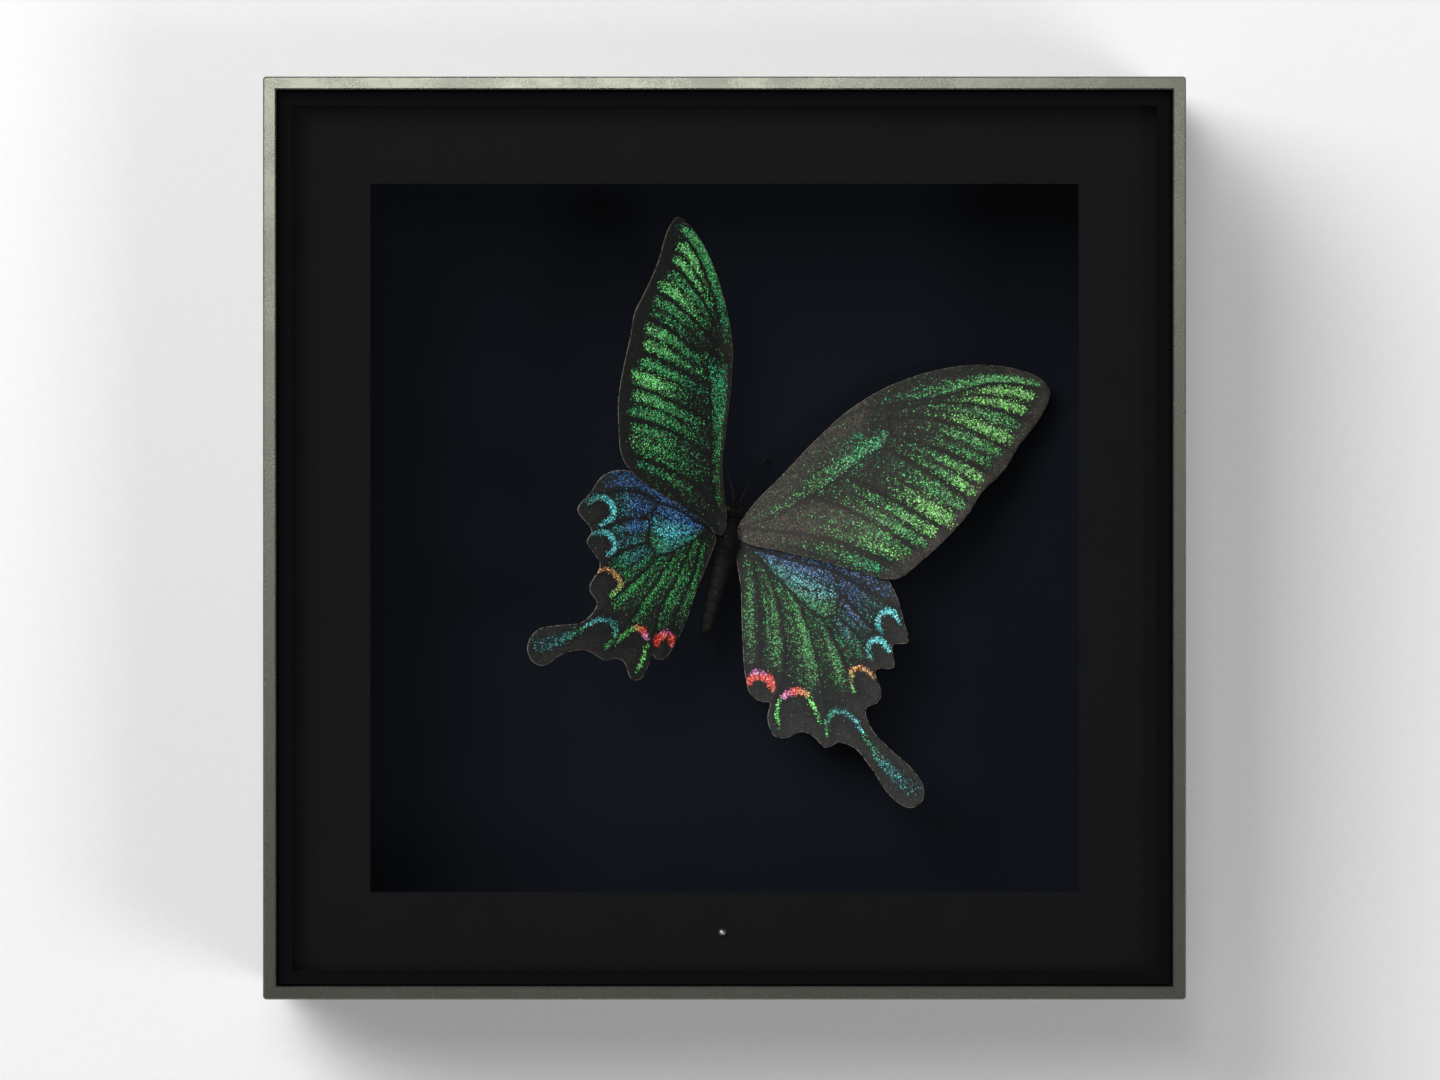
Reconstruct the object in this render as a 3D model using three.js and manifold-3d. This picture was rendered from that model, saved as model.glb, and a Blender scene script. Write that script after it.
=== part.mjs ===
// A swallowtail butterfly held on a short pin inside a deep, square metal box frame.
// Millimetres. +X is right, +Z is up, the front looks along -Y and the wall is the plane y = 0.
import * as THREE from 'three';
import { mergeVertices } from 'three/addons/utils/BufferGeometryUtils.js';
import Module from 'manifold-3d';

const wasm = await Module();
wasm.setup();

// Box frame
const FRAME_SIDE = 170;
const FRAME_DEPTH = 56;
const FRAME_WALL = 2.4;
const CORNER_RADIUS = 0.6;
const EASED_EDGE = 0.25;

// Layers behind the front edge, in order
const LINER_RECESS = 2;
const LINER_THICK = 0.8;
const LINER_WIDTH = 2.9;
const GLAZING_THICK = 2;
const STUD_ROOM = 1.3;
const MAT_THICK = 1.5;
const WINDOW_SIDE = 131;

// Layers in front of the wall, in order
const PANEL_THICK = 2.5;
const HANGER_ROOM = 6;
const BACKING_THICK = 2;
const SPACER_THICK = 3;

// Keyhole that a wall screw's head goes into
const KEYHOLE_Z = 58;
const KEYHOLE_RADIUS = 5;
const KEYHOLE_SLOT = 5;
const KEYHOLE_RISE = 10;

// Domed stud in the mat's lower margin
const STUD_RADIUS = 0.9;
const STUD_HEIGHT = 0.8;
const STUD_RIM = 0.25;
const STUD_PLACE = new THREE.Vector2(-0.4, -73);

// Butterfly: its thorax's centre, its posture and the lift of its wings towards the glass
const BODY_HEIGHT = 7.5;
const BODY_PLACE = new THREE.Vector2(0.5, -0.4);
const BODY_FORWARD = new THREE.Vector3(0.2, 0.15, 0.97);
const BODY_DORSAL = new THREE.Vector3(0.42, -0.9, 0);
const THORAX_RADII = [2, 4.6, 2.3];
const HEAD = { centre: [0, 5.5, -0.3], radii: [1.4, 1.3, 1.3] };
const EYE = { centre: [1.15, 5.8, -0.1], radii: [0.75, 0.85, 0.85] };
const PALP = { centre: [0.35, 6.9, 0], radii: [0.32, 0.85, 0.4] };
const ABDOMEN = {
  start: 3.2, length: 17.6, tip: 0.9, girth: 1.95, taper: 0.72, rings: 8, swell: 0.1, sag: 0.4,
};
const WING_THICK = 0.4;
const GRID_STEP = 4.5;
const HINDWING_DROP = 1.1;
const RIGHT_WING = { side: 1, root: 1, rise: 0.1, bow: 0.0017, pitch: -0.158 };
const LEFT_WING = { side: -1, root: 1.6, rise: 0.92, bow: 0.004, pitch: 0.16 };

// Slim parts of the specimen
const ANTENNA_RADIUS = 0.17;
const CLUB_RADIUS = 0.36;
const LEG_RADIUS = 0.22;
const PIN_RADIUS = 0.35;

// Clearance between pieces that touch
const GAP = 0.3;

const insideSide = FRAME_SIDE - 2 * FRAME_WALL;
const fillSide = insideSide - 2 * GAP;
const linerY = -FRAME_DEPTH + LINER_RECESS;
const glazingY = linerY + LINER_THICK + GAP;
const matY = glazingY + GLAZING_THICK + STUD_ROOM;
const spacerY = matY + MAT_THICK + GAP;
const backingY = -PANEL_THICK - HANGER_ROOM - BACKING_THICK;
const backingSide = fillSide - 2 * SPACER_THICK - 2 * GAP;
const bodyY = backingY - BODY_HEIGHT;
const bodyCentre = new THREE.Vector3(BODY_PLACE.x, bodyY, BODY_PLACE.y);

const finish = (color, roughness, metalness) =>
  new THREE.MeshStandardMaterial({ color, roughness, metalness });

const finishes = {
  metal: finish(0x8c8f80, 0.42, 1),
  liner: finish(0x141416, 0.6, 0),
  glazing: finish(0xf4f8f8, 0.03, 0),
  mat: finish(0x1f2022, 0.85, 0),
  spacer: finish(0x121214, 0.8, 0),
  backing: finish(0x0e1217, 0.9, 0),
  panel: finish(0x2b2724, 0.75, 0),
  stud: finish(0x3a3b3d, 0.25, 1),
  body: finish(0x0d0e10, 0.7, 0),
  forewing: finish(0x2c4a2a, 0.6, 0),
  hindwing: finish(0x1f5a5e, 0.6, 0),
  horn: finish(0x141312, 0.5, 0),
  pin: finish(0xb9bcc0, 0.3, 1),
};

finishes.glazing.transparent = true;
finishes.glazing.opacity = 0.12;

const specimen = new THREE.Group();

// Solids from geometry, for joining and cutting
function solidOf(geometry) {
  const bare = geometry.clone();
  bare.deleteAttribute('normal');
  bare.deleteAttribute('uv');
  const merged = mergeVertices(bare, 1e-4);
  return new wasm.Manifold(new wasm.Mesh({
    numProp: 3,
    vertProperties: Float32Array.from(merged.attributes.position.array),
    triVerts: Uint32Array.from(merged.index.array),
  }));
}

function geometryOf(solid) {
  const mesh = solid.getMesh();
  const geometry = new THREE.BufferGeometry();
  geometry.setAttribute('position', new THREE.BufferAttribute(mesh.vertProperties, 3));
  geometry.setIndex(new THREE.BufferAttribute(mesh.triVerts, 1));
  geometry.computeVertexNormals();
  return geometry;
}

function addPiece(name, geometry, material) {
  const mesh = new THREE.Mesh(geometry, material);
  mesh.name = name;
  specimen.add(mesh);
  return mesh;
}

// Flat layers are drawn in X and Z and grow from their front face towards the wall
function squareShape(side, corner = 0) {
  const half = side / 2;
  const inner = half - corner;
  const shape = new THREE.Shape();
  shape.moveTo(-inner, -half);
  shape.lineTo(inner, -half);
  if (corner) shape.absarc(inner, -inner, corner, -Math.PI / 2, 0);
  shape.lineTo(half, inner);
  if (corner) shape.absarc(inner, inner, corner, 0, Math.PI / 2);
  shape.lineTo(-inner, half);
  if (corner) shape.absarc(-inner, inner, corner, Math.PI / 2, Math.PI);
  shape.lineTo(-half, -inner);
  if (corner) shape.absarc(-inner, -inner, corner, Math.PI, 1.5 * Math.PI);
  return shape;
}

function layer(shape, thick, frontY, edge = 0) {
  const geometry = new THREE.ExtrudeGeometry(shape, {
    depth: thick - 2 * edge,
    curveSegments: 6,
    bevelEnabled: edge > 0,
    bevelThickness: edge,
    bevelSize: edge,
    bevelOffset: -edge,
    bevelSegments: 1,
  });
  geometry.rotateX(Math.PI / 2);
  geometry.translate(0, frontY + thick - edge, 0);
  return geometry;
}

function ringShape(outerSide, innerSide, corner = 0) {
  const shape = squareShape(outerSide, corner);
  shape.holes.push(squareShape(innerSide));
  return shape;
}

function addBox(name, size, centre, material) {
  const mesh = addPiece(name, new THREE.BoxGeometry(...size), material);
  mesh.position.set(...centre);
}

// Metal frame, black liner, clear pane and mat
addPiece(
  'metal_frame',
  layer(ringShape(FRAME_SIDE, insideSide, CORNER_RADIUS), FRAME_DEPTH, -FRAME_DEPTH, EASED_EDGE),
  finishes.metal,
);
const linerShape = ringShape(fillSide, insideSide - 2 * LINER_WIDTH);
addPiece('liner', layer(linerShape, LINER_THICK, linerY), finishes.liner);
addPiece('glazing', layer(squareShape(fillSide), GLAZING_THICK, glazingY), finishes.glazing);
addPiece('mat', layer(ringShape(fillSide, WINDOW_SIDE), MAT_THICK, matY), finishes.mat);

// The stud's dome: a short rim under a round crown
const crown = new THREE.EllipseCurve(0, STUD_RIM, STUD_RADIUS, STUD_HEIGHT - STUD_RIM, 0, Math.PI / 2);
const studProfile = [new THREE.Vector2(0, 0), new THREE.Vector2(STUD_RADIUS, 0), ...crown.getPoints(6)];
studProfile[studProfile.length - 1].x = 0;
const stud = addPiece('mat_stud', new THREE.LatheGeometry(studProfile, 20), finishes.stud);
stud.rotation.x = Math.PI;
stud.position.set(STUD_PLACE.x, matY, STUD_PLACE.y);

// Four spacer strips line the box between the mat and the back panel
const spacerDepth = -PANEL_THICK - GAP - spacerY;
const spacerMiddleY = spacerY + spacerDepth / 2;
const spacerOffset = (fillSide - SPACER_THICK) / 2;
const levelSize = [fillSide, spacerDepth, SPACER_THICK];
const uprightSize = [SPACER_THICK, spacerDepth, backingSide];
for (const [name, side] of [['bottom', -1], ['top', 1]]) {
  addBox(`${name}_spacer`, levelSize, [0, spacerMiddleY, side * spacerOffset], finishes.spacer);
}
for (const [name, side] of [['left', -1], ['right', 1]]) {
  addBox(`${name}_spacer`, uprightSize, [side * spacerOffset, spacerMiddleY, 0], finishes.spacer);
}

addPiece('backing_board', layer(squareShape(backingSide), BACKING_THICK, backingY), finishes.backing);

// Back panel with a keyhole: a round way in, and a narrower slot above it
function keyhole() {
  const halfSlot = KEYHOLE_SLOT / 2;
  const meet = Math.acos(halfSlot / KEYHOLE_RADIUS);
  const path = new THREE.Path();
  path.absarc(0, KEYHOLE_Z, KEYHOLE_RADIUS, Math.PI - meet, 2 * Math.PI + meet);
  path.absarc(0, KEYHOLE_Z + KEYHOLE_RISE, halfSlot, 0, Math.PI);
  path.closePath();
  return path;
}

const panelShape = squareShape(fillSide);
panelShape.holes.push(keyhole());
addPiece('back_panel', layer(panelShape, PANEL_THICK, -PANEL_THICK), finishes.panel);

// Body axes: right, forward and dorsal
const bodyRight = BODY_FORWARD.clone().cross(BODY_DORSAL).normalize();
const bodyForward = BODY_FORWARD.clone().normalize();
const bodyDorsal = bodyRight.clone().cross(bodyForward);
const bodyMatrix = new THREE.Matrix4().makeBasis(bodyRight, bodyForward, bodyDorsal).setPosition(bodyCentre);

function bodyLump(centre, radii, around = 18, along = 12) {
  const lump = new THREE.SphereGeometry(1, around, along);
  lump.rotateX(Math.PI / 2);
  lump.scale(...radii);
  lump.translate(...centre);
  return solidOf(lump.applyMatrix4(bodyMatrix));
}

// A slim limb along points given in body axes
function limb(points, radius, steps) {
  const path = new THREE.CatmullRomCurve3(points.map((point) => new THREE.Vector3(...point)));
  const section = new THREE.Shape(new THREE.EllipseCurve(0, 0, radius, radius).getPoints(6).slice(0, 6));
  const geometry = new THREE.ExtrudeGeometry(section, { steps, extrudePath: path, bevelEnabled: false });
  return solidOf(geometry.applyMatrix4(bodyMatrix));
}

// The abdomen tapers backwards in swelling rings
function abdomen(grow) {
  const { start, length, tip, girth, taper, rings, swell, sag } = ABDOMEN;
  const profile = [new THREE.Vector2(0, -start + grow)];
  for (let step = 0; step <= rings * 2; step += 1) {
    const share = step / (rings * 2);
    const radius = girth * Math.sqrt(1 - taper * share ** 1.6) + (step % 2) * swell;
    profile.push(new THREE.Vector2(radius + grow, -start - length * share));
  }
  profile.push(new THREE.Vector2(0, -start - length - tip - grow));
  const geometry = new THREE.LatheGeometry(profile.reverse(), 16);
  geometry.translate(0, 0, -sag);
  return solidOf(geometry.applyMatrix4(bodyMatrix));
}

// Head, thorax and abdomen; grow gives the room that the wings keep clear of them
function trunk(grow) {
  const grown = (radii) => radii.map((radius) => radius + grow);
  const mirrored = ({ centre }, side) => [side * centre[0], centre[1], centre[2]];
  let body = bodyLump([0, 0, 0], grown(THORAX_RADII)).add(abdomen(grow));
  body = body.add(bodyLump(HEAD.centre, grown(HEAD.radii), 14, 10));
  for (const side of [-1, 1]) {
    body = body.add(bodyLump(mirrored(EYE, side), grown(EYE.radii), 12, 8));
    body = body.add(bodyLump(mirrored(PALP, side), grown(PALP.radii), 8, 6));
  }
  return body;
}

// Three pairs of legs, folded under the thorax: thigh, shin and foot
const legPairs = [
  { hip: 2.6, knee: 4.6, heel: 3.4, toe: 5.8, spread: 2.6 },
  { hip: -0.9, knee: -0.6, heel: -2.8, toe: -4.6, spread: 3.4 },
  { hip: -2.4, knee: -4.4, heel: -6.2, toe: -8.4, spread: 3 },
];

function leg(side, { hip, knee, heel, toe, spread }) {
  return limb([
    [side * 0.8, hip, -1.5],
    [side * spread * 0.6, (hip + knee) / 2, -3.2],
    [side * spread, knee, -3.4],
    [side * (spread - 0.2), heel, -4.8],
    [side * (spread + 0.3), toe, -5.4],
  ], LEG_RADIUS, 10);
}

let bodySolid = trunk(0);
for (const pair of legPairs) {
  for (const side of [-1, 1]) {
    bodySolid = bodySolid.add(leg(side, pair));
  }
}
addPiece('body', geometryOf(bodySolid), finishes.body);

// Wing outlines as seen from the front, X then Z, from each wing's root and back to it
const RIGHT_FOREWING = [
  [2.4, 1.7], [5, 5.8], [11.4, 12.4], [17.3, 18.6], [23.7, 24.3], [31.1, 28.7],
  [38.8, 31.4], [47.1, 32.7], [54.9, 32], [59.9, 30], [61.5, 27.6], [59.9, 23.2],
  [55.3, 17], [52.8, 12.8], [48.4, 8.5], [46.5, 5.3], [42.4, 0.6], [36.9, -4.5],
  [32.2, -7.7], [22.8, -5.6], [11.9, -2.7], [4.5, -1.1], [2.4, 0.2],
];
const LEFT_FOREWING = [
  [-0.3, 0.7], [0.4, 3.3], [-0.1, 8.6], [-0.4, 13.8], [0.5, 21.7], [1.4, 30.2],
  [1.4, 37.3], [-0.3, 45.7], [-3.2, 53.5], [-6.3, 58.1], [-8.7, 59.8], [-10.4, 57.7],
  [-12.6, 50.8], [-15, 45.4], [-16.7, 41.9], [-17.6, 37], [-18.4, 33.6], [-19.7, 26.2],
  [-19.7, 20.4], [-19.2, 15.5], [-17.5, 12.5], [-14, 9.6], [-8.4, 6.2], [-3.5, 2.8],
  [-1.6, 0.9],
];
const RIGHT_HINDWING = [
  [2.5, -2.1], [3.1, -9.8], [3.4, -19.2], [3.9, -25.8], [5, -29.5], [7.2, -30.8],
  [8.5, -30.9], [8.1, -33.9], [9.3, -37.1], [11.6, -37.5], [14.4, -36.4], [16.5, -37.1],
  [19.1, -39.4], [21.4, -38.4], [24.5, -39.5], [27.6, -43.3], [31.4, -48.7], [34.9, -50.6],
  [37.1, -49.3], [37.2, -46.3], [34.9, -43], [31, -39.5], [27.6, -35.7], [26.6, -32],
  [28.7, -30.9], [29.5, -29.4], [28.5, -24.8], [31.8, -24.3], [31.7, -20.2], [34.5, -19.6],
  [33.8, -15.8], [32.1, -10.2], [30, -7], [23.6, -3.4], [14.2, -0.9], [4.8, 0],
];
const LEFT_HINDWING = [
  [-1.6, 0], [-2.9, -4], [-5.1, -9.5], [-7.2, -15.7], [-9.4, -20.1], [-11.3, -22.7],
  [-12.8, -22.7], [-13.5, -21.8], [-14.3, -24], [-15.8, -26.5], [-17.4, -26.4], [-18.9, -23.1],
  [-20.5, -22.5], [-22.1, -22.9], [-26, -20.9], [-30.1, -21.6], [-33.5, -23.7], [-35.5, -23.1],
  [-36.6, -20.3], [-34.8, -17.1], [-30.7, -16.2], [-26.4, -15.6], [-23.8, -12.3], [-25.2, -9.3],
  [-23.2, -5], [-25.6, -0.7], [-24.7, 1.3], [-27.3, 5.3], [-25.1, 8.2], [-22.6, 11.6],
  [-19.1, 12.7], [-13.9, 10.8], [-7.4, 6.5], [-2.3, 1.5],
];

// A wing lies on a bowed sheet that leaves the thorax at root and rises away from the body
function sheetY(x, z, wing, drop) {
  const out = wing.side * (x - bodyCentre.x);
  const lift = wing.root + wing.rise * out - wing.bow * out * out + wing.pitch * (z - bodyCentre.z);
  return bodyY - lift + drop;
}

function wingSheet(bounds, wing, drop) {
  const size = bounds.getSize(new THREE.Vector2()).addScalar(2);
  const middle = bounds.getCenter(new THREE.Vector2());
  const columns = Math.ceil(size.x / GRID_STEP);
  const rows = Math.ceil(size.y / GRID_STEP);
  const depth = WING_THICK * Math.hypot(1, wing.rise);
  const sheet = new THREE.BoxGeometry(size.x, depth, size.y, columns, 1, rows);
  sheet.translate(middle.x, 0, middle.y);
  const place = sheet.attributes.position;
  for (let index = 0; index < place.count; index += 1) {
    place.setY(index, place.getY(index) + sheetY(place.getX(index), place.getZ(index), wing, drop));
  }
  return solidOf(sheet);
}

const wingRoom = trunk(GAP);

function addWing(name, outline, wing, drop, material) {
  const knots = outline.map(([x, z]) => new THREE.Vector3(x, z, 0));
  const rim = new THREE.CatmullRomCurve3(knots, true, 'centripetal').getPoints(outline.length * 3);
  rim.pop();
  const flat = rim.map((point) => new THREE.Vector2(point.x, point.y));
  const cutter = layer(new THREE.Shape(flat), FRAME_DEPTH, -FRAME_DEPTH);
  const bounds = new THREE.Box2().setFromPoints(flat);
  const solid = wingSheet(bounds, wing, drop).intersect(solidOf(cutter)).subtract(wingRoom);
  const largest = solid.decompose().sort((one, other) => other.volume() - one.volume())[0];
  addPiece(name, geometryOf(largest), material);
}

addWing('right_forewing', RIGHT_FOREWING, RIGHT_WING, 0, finishes.forewing);
addWing('left_forewing', LEFT_FOREWING, LEFT_WING, 0, finishes.forewing);
addWing('right_hindwing', RIGHT_HINDWING, RIGHT_WING, HINDWING_DROP, finishes.hindwing);
addWing('left_hindwing', LEFT_HINDWING, LEFT_WING, HINDWING_DROP, finishes.hindwing);

// Antennae curve outwards from the brow to their clubs
for (const [name, side] of [['left', -1], ['right', 1]]) {
  const tip = [side * 5.6, 17.6, -1.9];
  const shaft = limb([
    [side * 0.55, 7.15 + GAP, 0.75],
    [side * 1.3, 9.6, 0.6],
    [side * 2.9, 13.2, -0.4],
    tip,
  ], ANTENNA_RADIUS, 10);
  const club = bodyLump(tip, [CLUB_RADIUS, CLUB_RADIUS * 3, CLUB_RADIUS], 8, 6);
  addPiece(`${name}_antenna`, geometryOf(shaft.add(club)), finishes.horn);
}

// The pin stands on the backing board and enters the thorax from below
const pinLength = BODY_HEIGHT - GAP;
const pinRod = new THREE.CylinderGeometry(PIN_RADIUS, PIN_RADIUS, pinLength, 12);
pinRod.translate(bodyCentre.x, bodyY + pinLength / 2, bodyCentre.z);
addPiece('mounting_pin', geometryOf(solidOf(pinRod).subtract(wingRoom)), finishes.pin);

export default specimen;
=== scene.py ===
import math

import bpy
import numpy as np
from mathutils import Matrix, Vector
from mathutils.geometry import delaunay_2d_cdt


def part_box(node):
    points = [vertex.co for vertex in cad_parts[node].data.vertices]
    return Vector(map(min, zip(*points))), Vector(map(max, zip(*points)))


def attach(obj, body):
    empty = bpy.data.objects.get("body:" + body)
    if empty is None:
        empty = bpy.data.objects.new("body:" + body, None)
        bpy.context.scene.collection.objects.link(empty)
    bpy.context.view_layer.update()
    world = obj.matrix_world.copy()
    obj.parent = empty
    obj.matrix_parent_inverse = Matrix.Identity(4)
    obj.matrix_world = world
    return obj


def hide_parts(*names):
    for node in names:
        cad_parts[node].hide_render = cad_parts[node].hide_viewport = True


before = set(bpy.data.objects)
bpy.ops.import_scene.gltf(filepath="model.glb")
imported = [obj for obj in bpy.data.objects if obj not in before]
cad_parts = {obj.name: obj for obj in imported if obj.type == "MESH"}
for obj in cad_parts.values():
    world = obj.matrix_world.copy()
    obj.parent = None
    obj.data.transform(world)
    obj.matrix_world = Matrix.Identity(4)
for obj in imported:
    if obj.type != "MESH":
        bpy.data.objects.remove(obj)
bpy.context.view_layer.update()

dice = np.random.default_rng(11)
mm = 0.001
print("frame loaded:", len(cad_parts), "nodes")


def tone(r, g, b):  # a colour as a screen shows it, 0 to 255
    return tuple(c / 3294.6 if c < 11 else ((c / 255 + 0.055) / 1.055) ** 2.4 for c in (r, g, b)) + (1.0,)


def shade(colour, amount):  # a darker or paler copy
    return tuple(amount * c for c in colour[:3]) + (1.0,)


class Wire:  # a socket that takes part in sums
    def __init__(self, finish, end):
        self.finish, self.end = finish, end

    def sum(self, operation, a, b):
        return self.finish.node("ShaderNodeMath", {"operation": operation}, {0: a, 1: b})

    def __add__(self, other):
        return self.sum("ADD", self, other)

    def __radd__(self, other):
        return self.sum("ADD", other, self)

    def __sub__(self, other):
        return self.sum("SUBTRACT", self, other)

    def __rsub__(self, other):
        return self.sum("SUBTRACT", other, self)

    def __mul__(self, other):
        return self.sum("MULTIPLY", self, other)

    def __rmul__(self, other):
        return self.sum("MULTIPLY", other, self)

    def __pow__(self, other):
        return self.sum("POWER", self, other)


class Finish:  # one material, or the world, and its nodes
    def __init__(self, name, home="materials"):
        self.owner = getattr(bpy.data, home).new(name)
        self.owner.use_nodes = True
        self.tree = self.owner.node_tree
        self.tree.nodes.clear()
        self.at = self.node("ShaderNodeTexCoord", out="Object" if home == "materials" else "Generated")

    def node(self, kind, settings={}, sockets={}, out=0):
        made = self.tree.nodes.new(kind)
        for key, value in settings.items():
            setattr(made, key, value)
        for key, value in sockets.items():
            if isinstance(value, Wire):
                self.tree.links.new(value.end, made.inputs[key])
            else:
                made.inputs[key].default_value = value
        return Wire(self, made.outputs[out]) if len(made.outputs) else None

    def noise(self, size, detail=3, rough=0.55, at=None):  # size of the blotches in mm
        return self.node("ShaderNodeTexNoise", {}, {
            "Vector": at or self.at, "Scale": 1000 / size, "Detail": detail, "Roughness": rough})

    def stretched(self, x, y, z):
        return self.node("ShaderNodeVectorMath", {"operation": "MULTIPLY"}, {0: self.at, 1: (x, y, z)})

    def step(self, value, low, high, first=0.0, last=1.0):  # a smooth step between two values
        return self.node("ShaderNodeMapRange", {"interpolation_type": "SMOOTHSTEP"}, {
            0: value, 1: low, 2: high, 3: first, 4: last})

    def mix(self, share, a, b):
        return self.node("ShaderNodeMix", {"data_type": "RGBA"}, {0: share, 6: a, 7: b}, 2)

    def dim(self, colour, amount):
        return self.node("ShaderNodeVectorMath", {"operation": "SCALE"}, {0: colour, 3: amount})

    def bump(self, height, depth, strength):  # depth in mm
        sockets = {"Height": height, "Distance": depth * mm, "Strength": strength}
        return self.node("ShaderNodeBump", {}, sockets)

    def coated(self, sockets):  # the usual shader, and the end of the tree
        return self.close(self.node("ShaderNodeBsdfPrincipled", {}, sockets))

    def blend(self, share, a, b):  # two shaders
        return self.node("ShaderNodeMixShader", {}, {0: share, 1: a, 2: b})

    def close(self, shader, end="ShaderNodeOutputMaterial"):
        self.node(end, {}, {"Surface": shader})
        return self.owner


def dress(material, *nodes):  # a finish on CAD nodes that stay
    for node in nodes:
        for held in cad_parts[node].material_slots:
            held.material = material


def addPiece(name, points, faces, material, slot, replaces=()):  # points in mm
    mesh = bpy.data.meshes.new(name)
    mesh.from_pydata((np.asarray(points, float) * mm).tolist(), [], faces)
    mesh.polygons.foreach_set("use_smooth", [True] * len(mesh.polygons))
    mesh.materials.append(material)
    mesh.update()
    piece = bpy.data.objects.new(name, mesh)
    bpy.context.scene.collection.objects.link(piece)
    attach(piece, "root")
    if replaces:
        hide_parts(*replaces)
    return piece


def joined(parts):  # several (points, faces) as one
    points, faces, count = [], [], 0
    for some, sides in parts:
        points.append(np.asarray(some, float))
        faces += [tuple(i + count for i in side) for side in sides]
        count += len(some)
    return np.vstack(points), faces


def smoothPath(points, step, closed=False):  # an even curve through the points
    p = np.asarray(points, float)
    if closed:
        p = np.vstack([p[-1], p, p[0], p[1]])
    else:
        p = np.vstack([2 * p[0] - p[1], p, 2 * p[-1] - p[-2]])
    dense = []
    for a, b, c, d in zip(p[:-3], p[1:-2], p[2:-1], p[3:]):
        t1 = np.linalg.norm(b - a) ** 0.5
        t2 = t1 + np.linalg.norm(c - b) ** 0.5
        t3 = t2 + np.linalg.norm(d - c) ** 0.5
        t = np.linspace(t1, t2, 16, endpoint=False)[:, None]
        ab = a + (b - a) * t / t1
        bc = b + (c - b) * (t - t1) / (t2 - t1)
        cd = c + (d - c) * (t - t2) / (t3 - t2)
        abc = ab + (bc - ab) * t / t2
        bcd = bc + (cd - bc) * (t - t1) / (t3 - t1)
        dense.append(abc + (bcd - abc) * (t - t1) / (t2 - t1))
    dense = np.vstack(dense + [p[-2][None]])
    run = np.r_[0, np.cumsum(np.linalg.norm(np.diff(dense, axis=0), axis=1))]
    places = np.linspace(0, run[-1], max(3, round(run[-1] / step) + 1))
    path = np.column_stack([np.interp(places, run, dense[:, i]) for i in range(dense.shape[1])])
    return path[:-1] if closed else path


def ringFaces(rows, sides):  # the sides between rings of points
    faces = []
    for i in range(rows):
        for j in range(sides):
            k = (j + 1) % sides
            faces.append((i * sides + j, i * sides + k, (i + 1) * sides + k, (i + 1) * sides + j))
    return faces


def tube(path, radii, sides):  # a closed limb along a path, with a radius for each point
    path = np.asarray(path, float)
    radii = np.broadcast_to(radii, len(path))
    along = np.gradient(path, axis=0)
    along /= np.linalg.norm(along, axis=1)[:, None]
    side = np.cross(along[0], (0.31, 0.83, 0.46))
    rings = []
    for point, way, radius in zip(path, along, radii):
        side = side - way * side.dot(way)
        side /= np.linalg.norm(side)
        turn = np.linspace(0, 2 * math.pi, sides, endpoint=False)[:, None]
        rings.append(point + radius * (np.cos(turn) * side + np.sin(turn) * np.cross(way, side)))
    points = np.vstack(rings + [path[:1], path[-1:]])
    last = len(path) - 1
    faces = ringFaces(last, sides)
    for j in range(sides):
        k = (j + 1) % sides
        faces.append((len(points) - 2, k, j))
        faces.append((len(points) - 1, last * sides + j, last * sides + k))
    return points, faces


# the camera stands straight in front, far back
cameraDesk = {"away": 1656, "x": -0.83, "z": -0.37, "lens": 217.2}
camera = bpy.data.objects.new("camera", bpy.data.cameras.new("camera"))
camera.data.lens = cameraDesk["lens"]
camera.data.clip_end = 20
camera.location = (cameraDesk["x"] * mm, -cameraDesk["away"] * mm, cameraDesk["z"] * mm)
camera.rotation_euler = (math.pi / 2, 0, 0)
bpy.context.scene.collection.objects.link(camera)
bpy.context.scene.camera = camera


# wall, backdrop and lights
studio = {
    "wallTone": (248, 248, 248),
    "frontLight": 0.05, "sideLight": 0.33, "sky": 0.8,
    "dimCone": (-0.95, -0.7),  # the room is dim behind the camera
    "roomTone": (0.97, 0.98, 1, 1),
    "wallReach": 3.0, "wallGap": 0.0004,  # in m
    "lamps": [  # name, place in m, aim in m, width in m, watts
        ("keyBox", (-0.6, -1.05, 0.62), (0, 0, 0), 0.85, 13.6),
        ("fillBox", (0.85, -1.45, -0.42), (0, 0, 0), 0.5, 6.4),
        ("frameGlow", (-0.06, -1.62, 0.285), (0, 0, 0), 0.2, 2.4),
        ("backBox", (0.5, 1.5, 0.9), (0, 0, 0), 1.2, 16.0),
    ],
}


def wallFinish():
    f = Finish("wallPaint")
    grain = f.noise(1.2, 4, 0.6)
    paint = f.mix(grain, tone(*studio["wallTone"]), tone(*(c - 5 for c in studio["wallTone"])))
    front = f.node("ShaderNodeBsdfDiffuse", {}, {"Color": paint})
    behind = f.node("ShaderNodeNewGeometry", out="Backfacing")
    shadow = f.node("ShaderNodeLightPath", out="Is Shadow Ray")
    clear = f.node("ShaderNodeBsdfTransparent")
    return f.close(f.blend(behind + shadow, front, clear))


def roomFinish():
    f = Finish("room", "worlds")
    front, side, sky = (
        f.node("ShaderNodeBackground", {}, {"Color": studio["roomTone"], "Strength": studio[key]})
        for key in ("frontLight", "sideLight", "sky"))
    back = f.node("ShaderNodeSeparateXYZ", {}, {0: f.at}, "Y")
    lit = f.blend(f.step(back, *studio["dimCone"]), front, side)
    seen = f.node("ShaderNodeLightPath", out="Is Camera Ray")
    return f.close(f.blend(seen, lit, sky), "ShaderNodeOutputWorld")


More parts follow.
